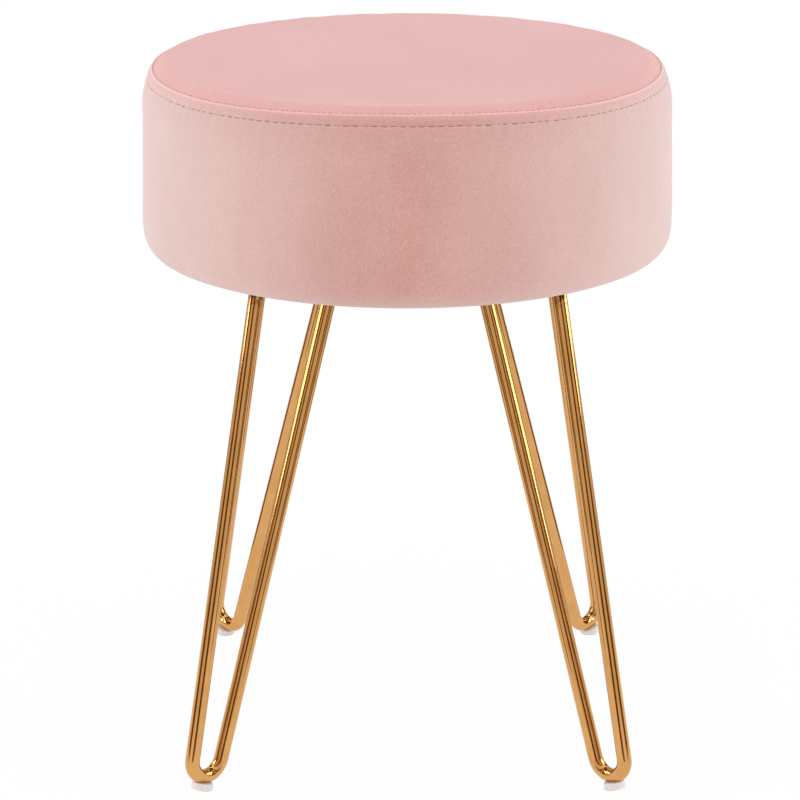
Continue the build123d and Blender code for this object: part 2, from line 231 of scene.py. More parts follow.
def bump(tree, shader, height, strength, distance, under=None):
    """Bump the shader by a height socket; distance is in metres. under is a bump socket to build on."""
    node = tree.nodes.new("ShaderNodeBump")
    node.inputs["Strength"].default_value = strength
    node.inputs["Distance"].default_value = distance
    tree.links.new(height, node.inputs["Height"])
    if under:
        tree.links.new(under, node.inputs["Normal"])
    tree.links.new(node.outputs["Normal"], shader.inputs["Normal"])
    return node.outputs["Normal"]


def linear(red, green, blue):
    """A colour written in 0 to 255 display values, as the linear colour that shaders take."""
    c = np.array([red, green, blue]) / 255
    return tuple(float(x) for x in np.where(c <= 0.04045, c / 12.92, ((c + 0.055) / 1.055) ** 2.4))


# %% [markdown]
# Velvet
#
# Velvet is a dense short pile. Seen square on it shows the dyed depth of the pile, and towards a
# grazing view the lit ends of the pile show, so the edges of the seat go pale. The Principled sheen
# gives the last bright rim of that. The broad part is a painted sheen: a Layer Weight, which grows as
# the surface turns away, blends the colour towards a pale one. Its normal leans upwards a little, as
# the pile does. Colour varies in three sizes: single tufts, fibres combed one way, and broad patches
# where the pile was brushed over. Along the seam the colour deepens over the roll and the lip, and the
# lip's crest gets a painted highlight.

# %% Velvet for the band and for the top panel
pile_lean = 0.25
tuft_scale, fibre_scale, patch_scale = 1000, 1200, 16
tuft_shade, fibre_light = 0.55, 1.3


def velvet_finish(name, deep, pale, painted_sheen_colour, painted_sheen_share, comb, strips=()):
    """Velvet between a deep and a pale colour. painted_sheen_colour is the pale colour that a painted
    sheen blends in towards a grazing view, and painted_sheen_share how much of it shows there; comb is
    the pile's combed direction (stretch of x, y, z). strips are colours laid along the seam, such as a
    painted highlight on the lip's crest, each with the distances below the seam where it starts and is
    full."""
    material, tree, shader = finish(
        name, Roughness=0.92, Specular_IOR_Level=0.1, Sheen_Weight=0.12, Sheen_Roughness=0.4,
        Sheen_Tint=(1.0, 0.95, 0.93, 1.0),
    )
    tufts = noise(tree, tuft_scale, detail=1.5, roughness=0.6)
    fibres = noise(tree, fibre_scale, stretch=comb, detail=1.0)
    brushed = tuple(0.35 + 0.65 * c for c in comb)
    patches = noise(tree, patch_scale, stretch=brushed, detail=3.0, roughness=0.6)
    colour = blend_colours(tree, spread(tree, patches, 0.34, 0.66), deep, pale)
    for strip_colour, start, full in strips:
        distance = tree.nodes.new("ShaderNodeAttribute")
        distance.attribute_name = "below_seam"
        nearness = spread(tree, distance.outputs["Fac"], start, full)
        colour = blend_colours(tree, nearness, colour, strip_colour)
    dark = tuple(tuft_shade * c for c in deep)
    colour = blend_colours(tree, spread(tree, tufts, 0.40, 0.72, to_high=0.30), colour, dark)
    bright = tuple(min(1, fibre_light * c) for c in pale)
    colour = blend_colours(tree, spread(tree, fibres, 0.52, 0.74, to_high=0.26), colour, bright)
    # Painted sheen: as the surface turns away from the eye, the colour is blended towards the pale colour
    # of the pile's lit ends.
    outward = tree.nodes.new("ShaderNodeNewGeometry")
    lean = tree.nodes.new("ShaderNodeVectorMath")
    lean.operation = "ADD"
    lean.inputs[1].default_value = (0, 0, pile_lean)
    pile = tree.nodes.new("ShaderNodeVectorMath")
    pile.operation = "NORMALIZE"
    turned = tree.nodes.new("ShaderNodeLayerWeight")
    turned.inputs["Blend"].default_value = 0.5
    early = tree.nodes.new("ShaderNodeMath")
    early.operation = "SQRT"
    tree.links.new(outward.outputs["Normal"], lean.inputs[0])
    tree.links.new(lean.outputs["Vector"], pile.inputs[0])
    tree.links.new(pile.outputs["Vector"], turned.inputs["Normal"])
    tree.links.new(turned.outputs["Facing"], early.inputs[0])
    two_tone(tree, shader, spread(tree, early.outputs["Value"], 0, 1, to_high=painted_sheen_share), colour, painted_sheen_colour)
    first = bump(tree, shader, tufts, strength=0.35, distance=0.25 * MM)
    bump(tree, shader, fibres, strength=0.25, distance=0.2 * MM, under=first)
    return material


band_velvet = velvet_finish(
    "dusty_rose_velvet", deep=linear(210, 157, 147), pale=linear(218, 167, 157),
    painted_sheen_colour=linear(236, 239, 239), painted_sheen_share=0.45, comb=(1, 1, 0.35),
    strips=[
        (linear(212, 154, 145), 24.0 * MM, 9.0 * MM),
        (linear(213, 141, 132), 5.4 * MM, 3.2 * MM),
        # Pale pink on the lip's crest and down into the crease: a painted highlight.
        (linear(246, 172, 164), 1.2 * MM, 0.3 * MM),
    ],
)
top_velvet = velvet_finish(
    "rose_velvet", deep=linear(223, 158, 147), pale=linear(229, 166, 155),
    painted_sheen_colour=linear(230, 215, 229), painted_sheen_share=0.30, comb=(1, 0.4, 1),
)

# %% [markdown]
# Side band
#
# The band is one strip of velvet: turned under the board, round the bottom corner, straight up, then
# rolled in to the seam, where its edge folds down into the crease. Its section is arcs, lines and the
# slight sag of the hem. On top of that come the small things sewing does: a row of dents at the
# topstitching, a lip between it and the seam, puckers that fan out below the stitches, and a closing
# seam at the back.

# %% The band's section and its sewn relief
stitch_drop = 6.6 * MM
stitch_count = 184
groove_depth, groove_width = 0.55 * MM, 0.6 * MM
lip_height, lip_drop, lip_width = 0.4 * MM, 3.4 * MM, 2.2 * MM
pucker_size, pucker_reach = 0.11 * MM, 9 * MM
slack_size, slack_reach = 0.30 * MM, 20 * MM
closing_seam = math.pi / 2
closing_depth, closing_width, closing_fade = 0.9 * MM, 1.3 * MM, 2 * MM
swell_height, swell_width = 0.35 * MM, 6 * MM
full_size, full_start, full_reach = 1.6 * MM, 34 * MM, 55 * MM
lip_radius = 0.55 * MM
fold_depth = 3 * MM
roll_centre = (seat_radius - roll_radius, roll_start)
rng = np.random.default_rng(7)
pucker_waves = [(int(k), phase, lean) for k, phase, lean in zip(
    rng.integers(60, 150, 9), rng.uniform(0, 2 * np.pi, 9), rng.uniform(-260, 260, 9))]
slack_waves = [(k, rng.uniform(0, 2 * np.pi), rng.uniform(-14, 14)) for k in range(3, 17)]


def waves(turn, drop, modes):
    """A sum of cosines round the seat, each leaning with the distance below the seam, of about unit
    size."""
    total = sum(np.cos(k * turn + phase + lean * drop) for k, phase, lean in modes)
    return total / math.sqrt(len(modes))


seam_wander = np.array([0.26, -0.18, 0.59, 0.91, 0.39]) * MM
wander_reach = 45 * MM


def seam_lift(turn, drop):
    """The sewn seam wanders up and down by a millimetre or two round the seat, and the band's top goes
    with it: a sum of cosines of whole multiples of the angle from the front."""
    wander = sum(size * np.cos(k * (turn + np.pi / 2)) for k, size in enumerate(seam_wander))
    return wander * np.clip(1 - drop / wander_reach, 0, 1)


def fullness(drop):
    """The filling pushes the band out lower down: a straight slope that starts below the shoulder."""
    return full_size * np.clip((drop - full_start) / full_reach, 0, 1)


def stitch_height(turn, drop):
    """Outward shift of the band: the stitched groove, the lip above it, puckers below it, slack lower
    down, and the closing seam at the back, which is a narrow dent in a wider swelling."""
    below = drop - stitch_drop
    dash = 0.8 + 0.2 * np.cos(stitch_count * turn)
    groove = -groove_depth * np.exp(-((below / groove_width) ** 2)) * dash
    lip = lip_height * np.exp(-(((drop - lip_drop) / lip_width) ** 2))
    fade = np.exp(-np.abs(below) / pucker_reach) * np.clip(drop / stitch_drop, 0, 1)
    puckers = pucker_size * fade * waves(turn, drop, pucker_waves)
    slack = slack_size * np.clip(below / slack_reach, 0, 1) * waves(turn, drop, slack_waves)
    away = np.angle(np.exp(1j * (turn - closing_seam))) * seat_radius
    dent = -closing_depth * np.exp(-((away / closing_width) ** 2))
    swell = swell_height * np.exp(-((away / swell_width) ** 2))
    return groove + lip + puckers + slack + (dent + swell) * np.clip(drop / closing_fade, 0, 1)


seam_point = np.array([seam_radius, seam_height])
seam_normal = np.array([math.cos(roll_angle), math.sin(roll_angle)])
lip_centre = seam_point - lip_radius * seam_normal
crease_radius = lip_centre[0] - lip_radius


def roll_stretch(start, end, count):
    """Points of the shoulder arc between two distances below the seam."""
    start_angle = roll_angle - start / roll_radius
    end_angle = roll_angle - end / roll_radius
    return arc(roll_centre, roll_radius, start_angle, end_angle, count)


hem_showing = 0.5 * MM
hem_edge = cover_radius + hem_showing
corner_start = seat_radius - corner_in
ease = np.linspace(0, 1, 6)
sag_reach = hem_edge + (corner_start - hem_edge) * ease
sag_height = seat_bottom - hem_sag * (1 - np.cos(np.pi * ease)) / 2
sagging = np.stack([sag_reach, sag_height], axis=-1)
round_corner = arc((0, 0), 1.0, -np.pi / 2, 0, 13) * (corner_in, corner_up)
hem_section = join(
    line((hem_inner_radius, seat_bottom), (hem_edge, seat_bottom), 3),
    sagging,
    round_corner + (corner_start, seat_bottom - hem_sag + corner_up),
)
below_stitches, above_stitches = stitch_drop + 2.6 * MM, stitch_drop - 2.4 * MM
face_section = join(
    hem_section,
    line(hem_section[-1], (seat_radius, roll_start), 15),
    roll_stretch(roll_radius * roll_angle, below_stitches, 10),
    roll_stretch(below_stitches, above_stitches, 22),
    roll_stretch(above_stitches, 0, 9),
)
band_section = join(
    face_section,
    arc(lip_centre, lip_radius, roll_angle, np.pi, 6),
    line((crease_radius, lip_centre[1]), (crease_radius, lip_centre[1] - fold_depth), 3),
)
band_columns = 1104
hem_fade, under_fade = 8 * MM, 12 * MM
section_steps = np.hypot(*np.diff(band_section, axis=0).T)
seam_row = len(face_section) - 1
along = np.concatenate([[0], np.cumsum(section_steps)])
drop = (along[seam_row] - along)[:, None]
tangent = np.gradient(band_section, axis=0)
tangent /= np.hypot(*tangent.T)[:, None]
normal = np.stack([tangent[:, 1], -tangent[:, 0]], axis=-1)
turn = np.linspace(0, 2 * np.pi, band_columns, endpoint=False)[None, :]
hem_start = along[seam_row] - along[len(hem_section)]
on_face = np.clip((hem_start - drop) / hem_fade, 0, 1) * (drop >= 0)
lift = stitch_height(turn, np.maximum(drop, 0)) * on_face
under = np.clip((band_section[:, 0] - hem_inner_radius) / under_fade, 0, 1)[:, None]
band_r = band_section[:, 0][:, None] + normal[:, 0][:, None] * lift + fullness(drop) * under
band_z = band_section[:, 1][:, None] + normal[:, 1][:, None] * lift + seam_lift(turn, np.maximum(drop, 0))
band_points = np.stack([band_r * np.cos(turn), band_r * np.sin(turn), band_z], axis=-1)
side_band = surface("seat_side_band", band_points, material=band_velvet, slot="velvet_band")
below_seam = side_band.data.attributes.new("below_seam", "FLOAT", "POINT")
below_seam.data.foreach_set("value", (drop + 0 * turn).ravel())
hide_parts("side_band")

# %% [markdown]
# Top panel
#
# The top is a disc of velvet over foam and wadding: nearly flat, with a slight crown, rolling down
# over its last centimetre into the crease. It is the same kind of surface of revolution, with a few
# tenths of a millimetre of unevenness and small gathers where the seam pulls the cloth in.

# %% The top panel
first_turn, edge_turn = math.radians(28), math.radians(44)
tuck_radius = 0.3 * MM
edge_gap, edge_drop = 0.08 * MM, 0.25 * MM
crown_rows, bend_rows, edge_rows, panel_columns = 46, 16, 20, 960
gather_size, gather_reach = 0.12 * MM, 7 * MM
ruffle_size, ruffle_inset, ruffle_width = 0.13 * MM, 8.5 * MM, 3.2 * MM
dip_size, dip_inset = 0.25 * MM, 25 * MM
# The seam's wander dies out this many times sooner on the panel than on the band
panel_wander = 2.5
edge_end = np.array([crease_radius - edge_gap, seam_height - edge_drop])
crown_rise = crown_height - shoulder_height
crown_radius = (shoulder_radius**2 + crown_rise**2) / (2 * crown_rise)
crown_edge = math.asin(shoulder_radius / crown_radius)
crown_pole = crown_edge * 0.01
over = np.array([math.sin(first_turn), math.sin(edge_turn) - math.sin(first_turn)])
down = np.array([1 - math.cos(first_turn), math.cos(first_turn) - math.cos(edge_turn)])
to_edge = [edge_end[0] - shoulder_radius, shoulder_height - edge_end[1]]
bend_in, bend_on = np.linalg.solve([over, down], to_edge)
print("panel edge: radius", round(bend_in / MM, 1), "mm, then", round(bend_on / MM, 1), "mm")
edge_normal = np.array([math.sin(edge_turn), math.cos(edge_turn)])
edge_centre = edge_end - bend_on * edge_normal
tuck_centre = edge_end - tuck_radius * edge_normal
tuck_reach = tuck_centre[0] + tuck_radius
quarter = np.pi / 2
crown_centre = (0, crown_height - crown_radius)
panel_section = join(
    arc(crown_centre, crown_radius, quarter - crown_pole, quarter - crown_edge, crown_rows),
    arc((shoulder_radius, shoulder_height - bend_in), bend_in, quarter, quarter - first_turn, bend_rows),
    arc(edge_centre, bend_on, quarter - first_turn, quarter - edge_turn, edge_rows),
    arc(tuck_centre, tuck_radius, quarter - edge_turn, 0, 7),
    line((tuck_reach, tuck_centre[1]), (tuck_reach, tuck_centre[1] - fold_depth), 4),
)
panel_grid = revolve(panel_section, panel_columns)
panel_turn = np.linspace(0, 2 * np.pi, panel_columns, endpoint=False)[None, :]
inset = np.maximum(panel_section[:, 0].max() - panel_section[:, 0], 0)[:, None]
gathers = gather_size * np.exp(-inset / gather_reach) * waves(panel_turn, inset, pucker_waves)
x, y = panel_grid[..., 0], panel_grid[..., 1]
ruffle_counts = rng.integers(9, 64, 12)
ruffle_waves = [(int(k), rng.uniform(0, 2 * np.pi), rng.uniform(-300, 300)) for k in ruffle_counts]
near_shoulder = np.exp(-(((inset - ruffle_inset) / ruffle_width) ** 2))
ruffles = ruffle_size * near_shoulder * waves(panel_turn, inset, ruffle_waves)
dip_waves = [(rng.uniform(8, 30), rng.uniform(0, np.pi), rng.uniform(0, 2 * np.pi)) for _ in range(9)]
dips = sum(np.cos(k * (x * np.cos(a) + y * np.sin(a)) + p) for k, a, p in dip_waves)
dips /= math.sqrt(len(dip_waves))
edge_row = crown_rows + (bend_rows - 1) + (edge_rows - 1)
tucked = np.arange(len(panel_section))[:, None] > edge_row
uneven = gathers + ruffles + dip_size * dips * np.clip(inset / dip_inset, 0, 1)
panel_grid[..., 2] += np.where(tucked, 0, uneven)
panel_grid[..., 2] += seam_lift(panel_turn, panel_wander * inset)
top_panel = surface(
    "seat_top_panel", panel_grid, caps=("first",), material=top_velvet, slot="velvet_top", flip=True
)
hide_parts("top_panel")

# %% [markdown]
# Threads
#
# The topstitch is a thread that dives in and out of the velvet. Each visible stitch is a short bent
# tube about four fifths of the stitch spacing long, sunk in its dent, and no two are quite alike. A
# finer row of the same kind lies along the seam, on the edge of the top panel. The thread's dark rose
# is partly its own colour and partly painted shade of its dent, and its twist has painted shade and
# painted light in darker and lighter tones. Where the thread runs away from the eye, a painted sheen
# turns it to the pale colour of the velvet's fibres that stand round it.

# %% Topstitch and seam thread
# Dark rose, partly the thread's own colour and partly painted shade of its dent.
thread_colour_with_shade = linear(166, 106, 100)
thread, thread_tree, thread_shader = finish("rose_thread", Roughness=0.7, Specular_IOR_Level=0.3)
twist = noise(thread_tree, 2600, stretch=(1, 1, 2.2), detail=1.0)
# Painted shade and painted light of the twist: darker and lighter copies of the thread's colour.
painted_twist_shade, painted_twist_light = (tuple(light * c for c in thread_colour_with_shade) for light in (0.7, 1.2))
shaded_strands = blend_colours(thread_tree, twist, painted_twist_shade, painted_twist_light)
# Painted sheen: at a grazing view the thread is blended towards the velvet's pale colour.
thread_sheen_facing = thread_tree.nodes.new("ShaderNodeLayerWeight")
thread_sheen_facing.inputs["Blend"].default_value = 0.5
painted_thread_sheen = spread(thread_tree, thread_sheen_facing.outputs["Facing"], 0.35, 0.85, to_high=0.9)
two_tone(thread_tree, thread_shader, painted_thread_sheen, shaded_strands, linear(228, 198, 190))
bump(thread_tree, thread_shader, twist, strength=0.4, distance=0.1 * MM)


def ring_point(turn, r, z, outward, upward):
    """Point at a turn round the seat with radius r and height z, and its normal from an outward and
    an upward share."""
    around = np.stack([np.cos(turn), np.sin(turn), 0 * turn], axis=-1)
    up = np.array([0, 0, 1.0])
    point = around * r[..., None] + up * z[..., None]
    return point, around * outward[..., None] + up * upward[..., None]


def on_band(turn, drop):
    """Point and normal of the plain shoulder arc, at a turn round the seat and a drop from the seam."""
    a = roll_angle - drop / roll_radius
    r = roll_centre[0] + roll_radius * np.cos(a)
    z = roll_centre[1] + roll_radius * np.sin(a) + seam_lift(turn, drop)
    return ring_point(turn, r, z, np.cos(a), np.sin(a))


def on_panel_edge(turn, rise):
    """Point and normal of the top panel's edge, at a turn round the seat and a rise from the crease."""
    a = edge_turn - rise / bend_on
    r = edge_centre[0] + bend_on * np.sin(a)
    z = edge_centre[1] + bend_on * np.cos(a) + seam_lift(turn, panel_wander * rise)
    return ring_point(turn, r, z, np.sin(a), np.cos(a))


shortest, longest = 0.82, 1.10
end_taper, end_dive = 0.92, 1.4


def stitches(place, count, middle, length, thread_radius, depth, jitter, rings=9, sides=6):
    """A row of stitches as one grid: rings along each stitch, rising in the middle and diving at its
    ends. place gives the surface that they lie on and middle their distance from the seam."""
    step = 2 * np.pi / count
    t = np.linspace(-1, 1, rings)[None, :, None]
    around = np.linspace(0, 2 * np.pi, sides, endpoint=False)[None, None, :]
    start = (np.arange(count) + 0.5)[:, None, None] * step
    long = length * rng.uniform(shortest, longest, (count, 1, 1))
    tilt = rng.normal(0, jitter, (count, 1, 1))
    shift = rng.normal(0, jitter, (count, 1, 1))
    girth = thread_radius * np.sqrt(np.clip(1 - end_taper * t**6, 0.02, 1))
    turn = start + t * long / 2 / seat_radius + 0 * around
    aside = middle + shift + tilt * t + girth * np.sin(around)
    rise = depth - end_dive * thread_radius * t**6 + girth * np.cos(around)
    point, out = place(turn, aside)
    return point + out * rise[..., None]


topstitch_grid = stitches(
    on_band, stitch_count, middle=stitch_drop, length=4.5 * MM, thread_radius=0.30 * MM,
    depth=-0.38 * MM, jitter=0.12 * MM,
)
seam_stitch_count = 262
crease_grid = stitches(
    on_panel_edge, seam_stitch_count, middle=0.95 * MM, length=3.2 * MM, thread_radius=0.16 * MM,
    depth=-0.03 * MM, jitter=0.07 * MM,
)


def tubes(name, grid, material, slot):
    """Many short closed tubes, a grid shaped (tubes, rings, sides, 3), as one object with capped ends."""
    count, rings, sides = grid.shape[:3]
    one = grid_faces(rings, sides, False, True)
    starts = (np.arange(count) * rings * sides)[:, None, None]
    quads = (one[None] + starts).reshape(-1, 4).tolist()
    ends = np.stack([np.arange(sides)[::-1], (rings - 1) * sides + np.arange(sides)])
    caps = (ends[None] + starts).reshape(-1, sides).tolist()
    return add_piece(name, grid.reshape(-1, 3).tolist(), quads + caps, material, slot)


tubes("seat_topstitch", topstitch_grid, thread, "velvet_band")
tubes("seat_seam_thread", crease_grid, thread, "velvet_band")

# %% [markdown]
# Bent rods
#
# Each leg is one polished rod: a straight run down from the plate, a tight bend at the floor and a
# straight run back up. A circle carried along that line gives a smooth tube, which mirrors its
# surroundings without the facets of a coarse mesh. Its two ends are cut level at the plate.

# %% Gold finish
tint_length, tint_fade = 18 * MM, 8 * MM


def gold_finish(name, tint_from=None):
    """Polished gold plate. Above the height tint_from it is mottled dark brown."""
    material, tree, shader = finish(name, Metallic=1.0)
    haze = noise(tree, 60, detail=3.0)
    colour = blend_colours(
        tree, spread(tree, haze, 0.35, 0.65), linear(211, 157, 94), linear(219, 166, 103)
    )
    height = noise(tree, 300, stretch=(1, 1, 0.2), detail=1.0)
    if tint_from:
        place = tree.nodes.new("ShaderNodeTexCoord")
        parts = tree.nodes.new("ShaderNodeSeparateXYZ")
        mottled_top = tree.nodes.new("ShaderNodeMath")
        mottled_top.operation = "MULTIPLY"
        tree.links.new(place.outputs["Object"], parts.inputs["Vector"])
        tree.links.new(spread(tree, parts.outputs["Z"], tint_from, tint_from + tint_fade), mottled_top.inputs[0])
        tree.links.new(spread(tree, noise(tree, 420, detail=2.0), 0.40, 0.56), mottled_top.inputs[1])
        colour = blend_colours(tree, mottled_top.outputs[0], colour, linear(112, 62, 24))
    tree.links.new(colour, shader.inputs["Base Color"])
    tree.links.new(spread(tree, haze, 0.3, 0.7, to_low=0.08, to_high=0.13), shader.inputs["Roughness"])
    bump(tree, shader, height, strength=0.008, distance=0.1 * MM)
    return material


gold = gold_finish("polished_gold")
rod_gold = gold_finish("rod_gold", plate_bottom - tint_length)

# %% The four rods
rod_radius = 4.75 * MM
bend_radius = 12.6 * MM
bend_reach = 183.0 * MM
bend_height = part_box("leg_rod_front_left")[0][2] + rod_radius + bend_radius
aim_height = 340.0 * MM
aim_reach = {"inner": 58.7 * MM, "outer": 129.3 * MM}


def tangent_angle(reach, side):
    """Angle on the bend where the straight run from an aim point touches it."""
    out, up = reach - bend_reach, aim_height - bend_height
    return math.atan2(up, out) + side * math.acos(bend_radius / math.hypot(out, up))


inner_angle = tangent_angle(aim_reach["inner"], 1)
outer_angle = tangent_angle(aim_reach["outer"], -1) + 2 * np.pi
bend = arc((bend_reach, bend_height), bend_radius, inner_angle, outer_angle, 73)
centre_line = join(
    line((aim_reach["inner"], aim_height), bend[0], 25),
    bend,
    line(bend[-1], (aim_reach["outer"], aim_height), 25),
)


def leg_space(grid, angle):
    """Points given as (outwards, across, up) in one leg's own space, placed at its angle round the seat."""
    a = math.radians(angle)
    out, across, up = np.moveaxis(grid, -1, 0)
    x = out * math.cos(a) - across * math.sin(a)
    y = out * math.sin(a) + across * math.cos(a)
    return np.stack([x, y, up], axis=-1)


def rod_grid(sides=56):
    """A circle carried along the leg's centre line; rings above the plate slide down the run to its
    level."""
    along_line = np.gradient(centre_line, axis=0)
    along_line /= np.hypot(*along_line.T)[:, None]
    side = np.stack([along_line[:, 1], -along_line[:, 0]], axis=-1)
    around = np.linspace(0, 2 * np.pi, sides, endpoint=False)
    out = centre_line[:, 0][:, None] + rod_radius * side[:, 0][:, None] * np.cos(around)
    up = centre_line[:, 1][:, None] + rod_radius * side[:, 1][:, None] * np.cos(around)
    across = 0 * up + rod_radius * np.sin(around)
    over = np.maximum(up - plate_bottom, 0)
    out = out - over * (along_line[:, 0] / along_line[:, 1])[:, None] * (over > 0)
    return np.stack([out, across, up - over], axis=-1)


leg_grid = rod_grid()
for leg, angle in leg_angles.items():
    rod = surface(
        f"rod_{leg}", leg_space(leg_grid, angle), caps=("first", "last"),
        material=rod_gold, slot="gold_steel",
    )
    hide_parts(f"leg_rod_{leg}")

# %% [markdown]
# Foot pads
#
# A small milky plastic pad sits under each bend, with a saddle in its top that fits the rod. Its top
# is a height over a disc: the rounded rim, or the underside of the bent rod where that is lower.

# %% The four pads
milky, milky_tree, milky_shader = finish(
    "milky_plastic", Roughness=0.32, Specular_IOR_Level=0.45,
    Subsurface_Weight=0.15, Subsurface_Scale=2 * MM,
)
milky_shader.inputs["Subsurface Radius"].default_value = (1.0, 0.95, 0.9)
cloud = noise(milky_tree, 260, detail=2.0)
two_tone(milky_tree, milky_shader, cloud, linear(226, 221, 220), linear(236, 233, 232))
pad_radius, pad_height, pad_edge, pad_sole = 7.0 * MM, 4.8 * MM, 1.2 * MM, 3.65 * MM
pad_middle, sole_edge, saddle_gap = 0.2 * MM, 0.6 * MM, 0.02 * MM
pad_lean = math.radians(15)


def pad_grid(sides=72):
    """Rings of the pad from the middle of its top, over the rim and down to its sole, in line with the
    leg's V. Then the pad leans outwards about the middle of the bend, and what would go below the
    floor is pressed flat."""
    rim = join(
        line((pad_middle, pad_height), (pad_radius - pad_edge, pad_height), 22),
        arc((pad_radius - pad_edge, pad_height - pad_edge), pad_edge, np.pi / 2, 0, 9),
        line((pad_radius, pad_height - pad_edge), (pad_radius, sole_edge), 5),
        arc((pad_radius - sole_edge, sole_edge), sole_edge, 0, -np.pi / 2, 5),
        line((pad_radius - sole_edge, 0), (pad_middle, 0), 6),
    )
    grid = revolve(rim, sides)
    along_leg, across = grid[..., 0], grid[..., 1]
    tube = np.sqrt(np.clip(rod_radius**2 - across**2, 0, None))
    reach = np.clip((bend_radius + tube) ** 2 - along_leg**2, 0, None)
    to_bend = bend_radius + rod_radius + pad_sole
    under_rod = np.where(np.abs(across) < rod_radius, to_bend - np.sqrt(reach), np.inf)
    below = to_bend - np.minimum(grid[..., 2], under_rod - saddle_gap)
    out = bend_reach + along_leg * math.cos(pad_lean) + below * math.sin(pad_lean)
    up = bend_height + along_leg * math.sin(pad_lean) - below * math.cos(pad_lean)
    return np.stack([out, across, np.maximum(up, 0)], axis=-1)


for leg, angle in leg_angles.items():
    pad = surface(
        f"pad_{leg}", leg_space(pad_grid(), angle), caps=("first", "last"),
        material=milky, slot="clear_pad", flip=True,
    )
    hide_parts(f"foot_pad_{leg}")

# %% [markdown]
# Welds
#
# Under the seat each rod end is welded to its plate. A weld bead is a rippled roll of metal that
# runs round the joint: a small circle carried round the rod's slanted outline, swelling in steps.

# %% Weld beads
ripple_count, ripple_size, wobble_size = 19, 0.10, 0.06
bead_radius, bead_out, bead_drop, bead_sunk = 2.2 * MM, 0.7 * MM, 0.5 * MM, 0.05 * MM


def bead_grid(run, rounds=152, sides=14):
    """A bead round one rod end: the rod's outline on the plate, widened by a rippled circle and flat
    on the plate."""
    reach = aim_reach[run]
    touch = bend[0] if run == "inner" else bend[-1]
    run_out, run_up = reach - touch[0], aim_height - touch[1]
    end = reach - run_out / run_up * (aim_height - plate_bottom)
    lean = math.hypot(run_out, run_up) / run_up
    around = np.linspace(0, 2 * np.pi, rounds, endpoint=False)[:, None]
    section = np.linspace(0, 2 * np.pi, sides, endpoint=False)[None, :]
    ripples = ripple_size * np.abs(np.sin(ripple_count * around / 2))
    wobble = wobble_size * np.cos(3 * around + reach * 90)
    size = bead_radius * (1 + ripples + wobble)
    wide = rod_radius + bead_out + size * np.cos(section)
    up = np.minimum(plate_bottom - bead_drop + size * np.sin(section), plate_bottom + bead_sunk)
    return np.stack([end + wide * lean * np.cos(around), wide * np.sin(around), up], axis=-1)


for leg, angle in leg_angles.items():
    for run in aim_reach:
        bead = surface(
            f"weld_{run}_{leg}", leg_space(bead_grid(run), angle), wrap_rows=True,
            material=gold, slot="gold_steel",
        )
        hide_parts(f"leg_welds_{leg}")

# %% [markdown]
# Underside
#
# A black non-woven cloth hides the board. It lies against the board, steps down over the velvet hem
# and is stapled there. Its surface is a disc with that step, pulled into faint rays by the staples.

# %% Dust cover
dust, dust_tree, dust_shader = finish("black_nonwoven", Roughness=0.9, Specular_IOR_Level=0.2)
felt = noise(dust_tree, 900, stretch=(1, 1.6, 1), detail=2.5)
two_tone(dust_tree, dust_shader, felt, linear(18, 18, 20), linear(52, 52, 55))
spots = dust_tree.nodes.new("ShaderNodeTexVoronoi")
spots.inputs["Scale"].default_value = 420
spots.inputs["Randomness"].default_value = 0.05
place = dust_tree.nodes.new("ShaderNodeTexCoord")
dust_tree.links.new(place.outputs["Object"], spots.inputs["Vector"])
pressed = bump(dust_tree, dust_shader, spots.outputs["Distance"], strength=0.35, distance=0.2 * MM)
bump(dust_tree, dust_shader, felt, strength=0.3, distance=0.15 * MM, under=pressed)

pole_radius = 0.5 * MM
cover = 0.8 * MM
cover_columns = 360
staple_count, ray_depth = 16, 0.22 * MM
step_radius = hem_inner_radius - cover
step_top = (step_radius - 2 * MM, board_bottom - cover)
step_foot = (step_radius + 0.5 * MM, cover_bottom)
cover_section = join(
    line((pole_radius, board_bottom - cover), step_top, 40),
    line(step_top, step_foot, 6),
    line(step_foot, (cover_radius, cover_bottom), 7),
)
cover_grid = revolve(cover_section, cover_columns)
ray = np.linspace(0, 2 * np.pi, cover_columns, endpoint=False)[None, :]
cover_reach = cover_section[:, 0][:, None]
slack = np.clip((cover_reach - 0.6 * step_radius) / (0.4 * step_radius), 0, 1) * (cover_reach < step_top[0])
cover_grid[..., 2] -= ray_depth * slack * (1 + np.cos(staple_count * ray + 0.6 * np.sin(3 * ray)))
dust_cover = surface("dust_cloth", cover_grid, caps=("first",), material=dust, slot="dust_cloth")
thick = dust_cover.modifiers.new("cloth_thickness", "SOLIDIFY")
thick.thickness = 0.5 * MM
thick.offset = -1
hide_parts("dust_cover")

# %% [markdown]
# Filling
#
# Nobody sees the filling, but it is built all the same: a foam block with rounded edges, a
# wadding strip round it and a wadding pad on top, each a closed surface of revolution.

# %% Foam and wadding
foam, foam_tree, foam_shader = finish("cream_foam", Roughness=0.95, Specular_IOR_Level=0.1)
cells = noise(foam_tree, 700, detail=3.0, roughness=0.7)
two_tone(foam_tree, foam_shader, cells, linear(214, 200, 160), linear(245, 236, 206))
bump(foam_tree, foam_shader, cells, strength=0.6, distance=0.5 * MM)
fleece, fleece_tree, fleece_shader = finish(
    "white_wadding", Roughness=0.95, Specular_IOR_Level=0.1, Sheen_Weight=0.3,
)
tangle = noise(fleece_tree, 240, stretch=(1, 1, 2.5), detail=5.0, roughness=0.7)
two_tone(fleece_tree, fleece_shader, tangle, linear(222, 222, 218), linear(250, 250, 247))
bump(fleece_tree, fleece_shader, tangle, strength=0.7, distance=0.8 * MM)

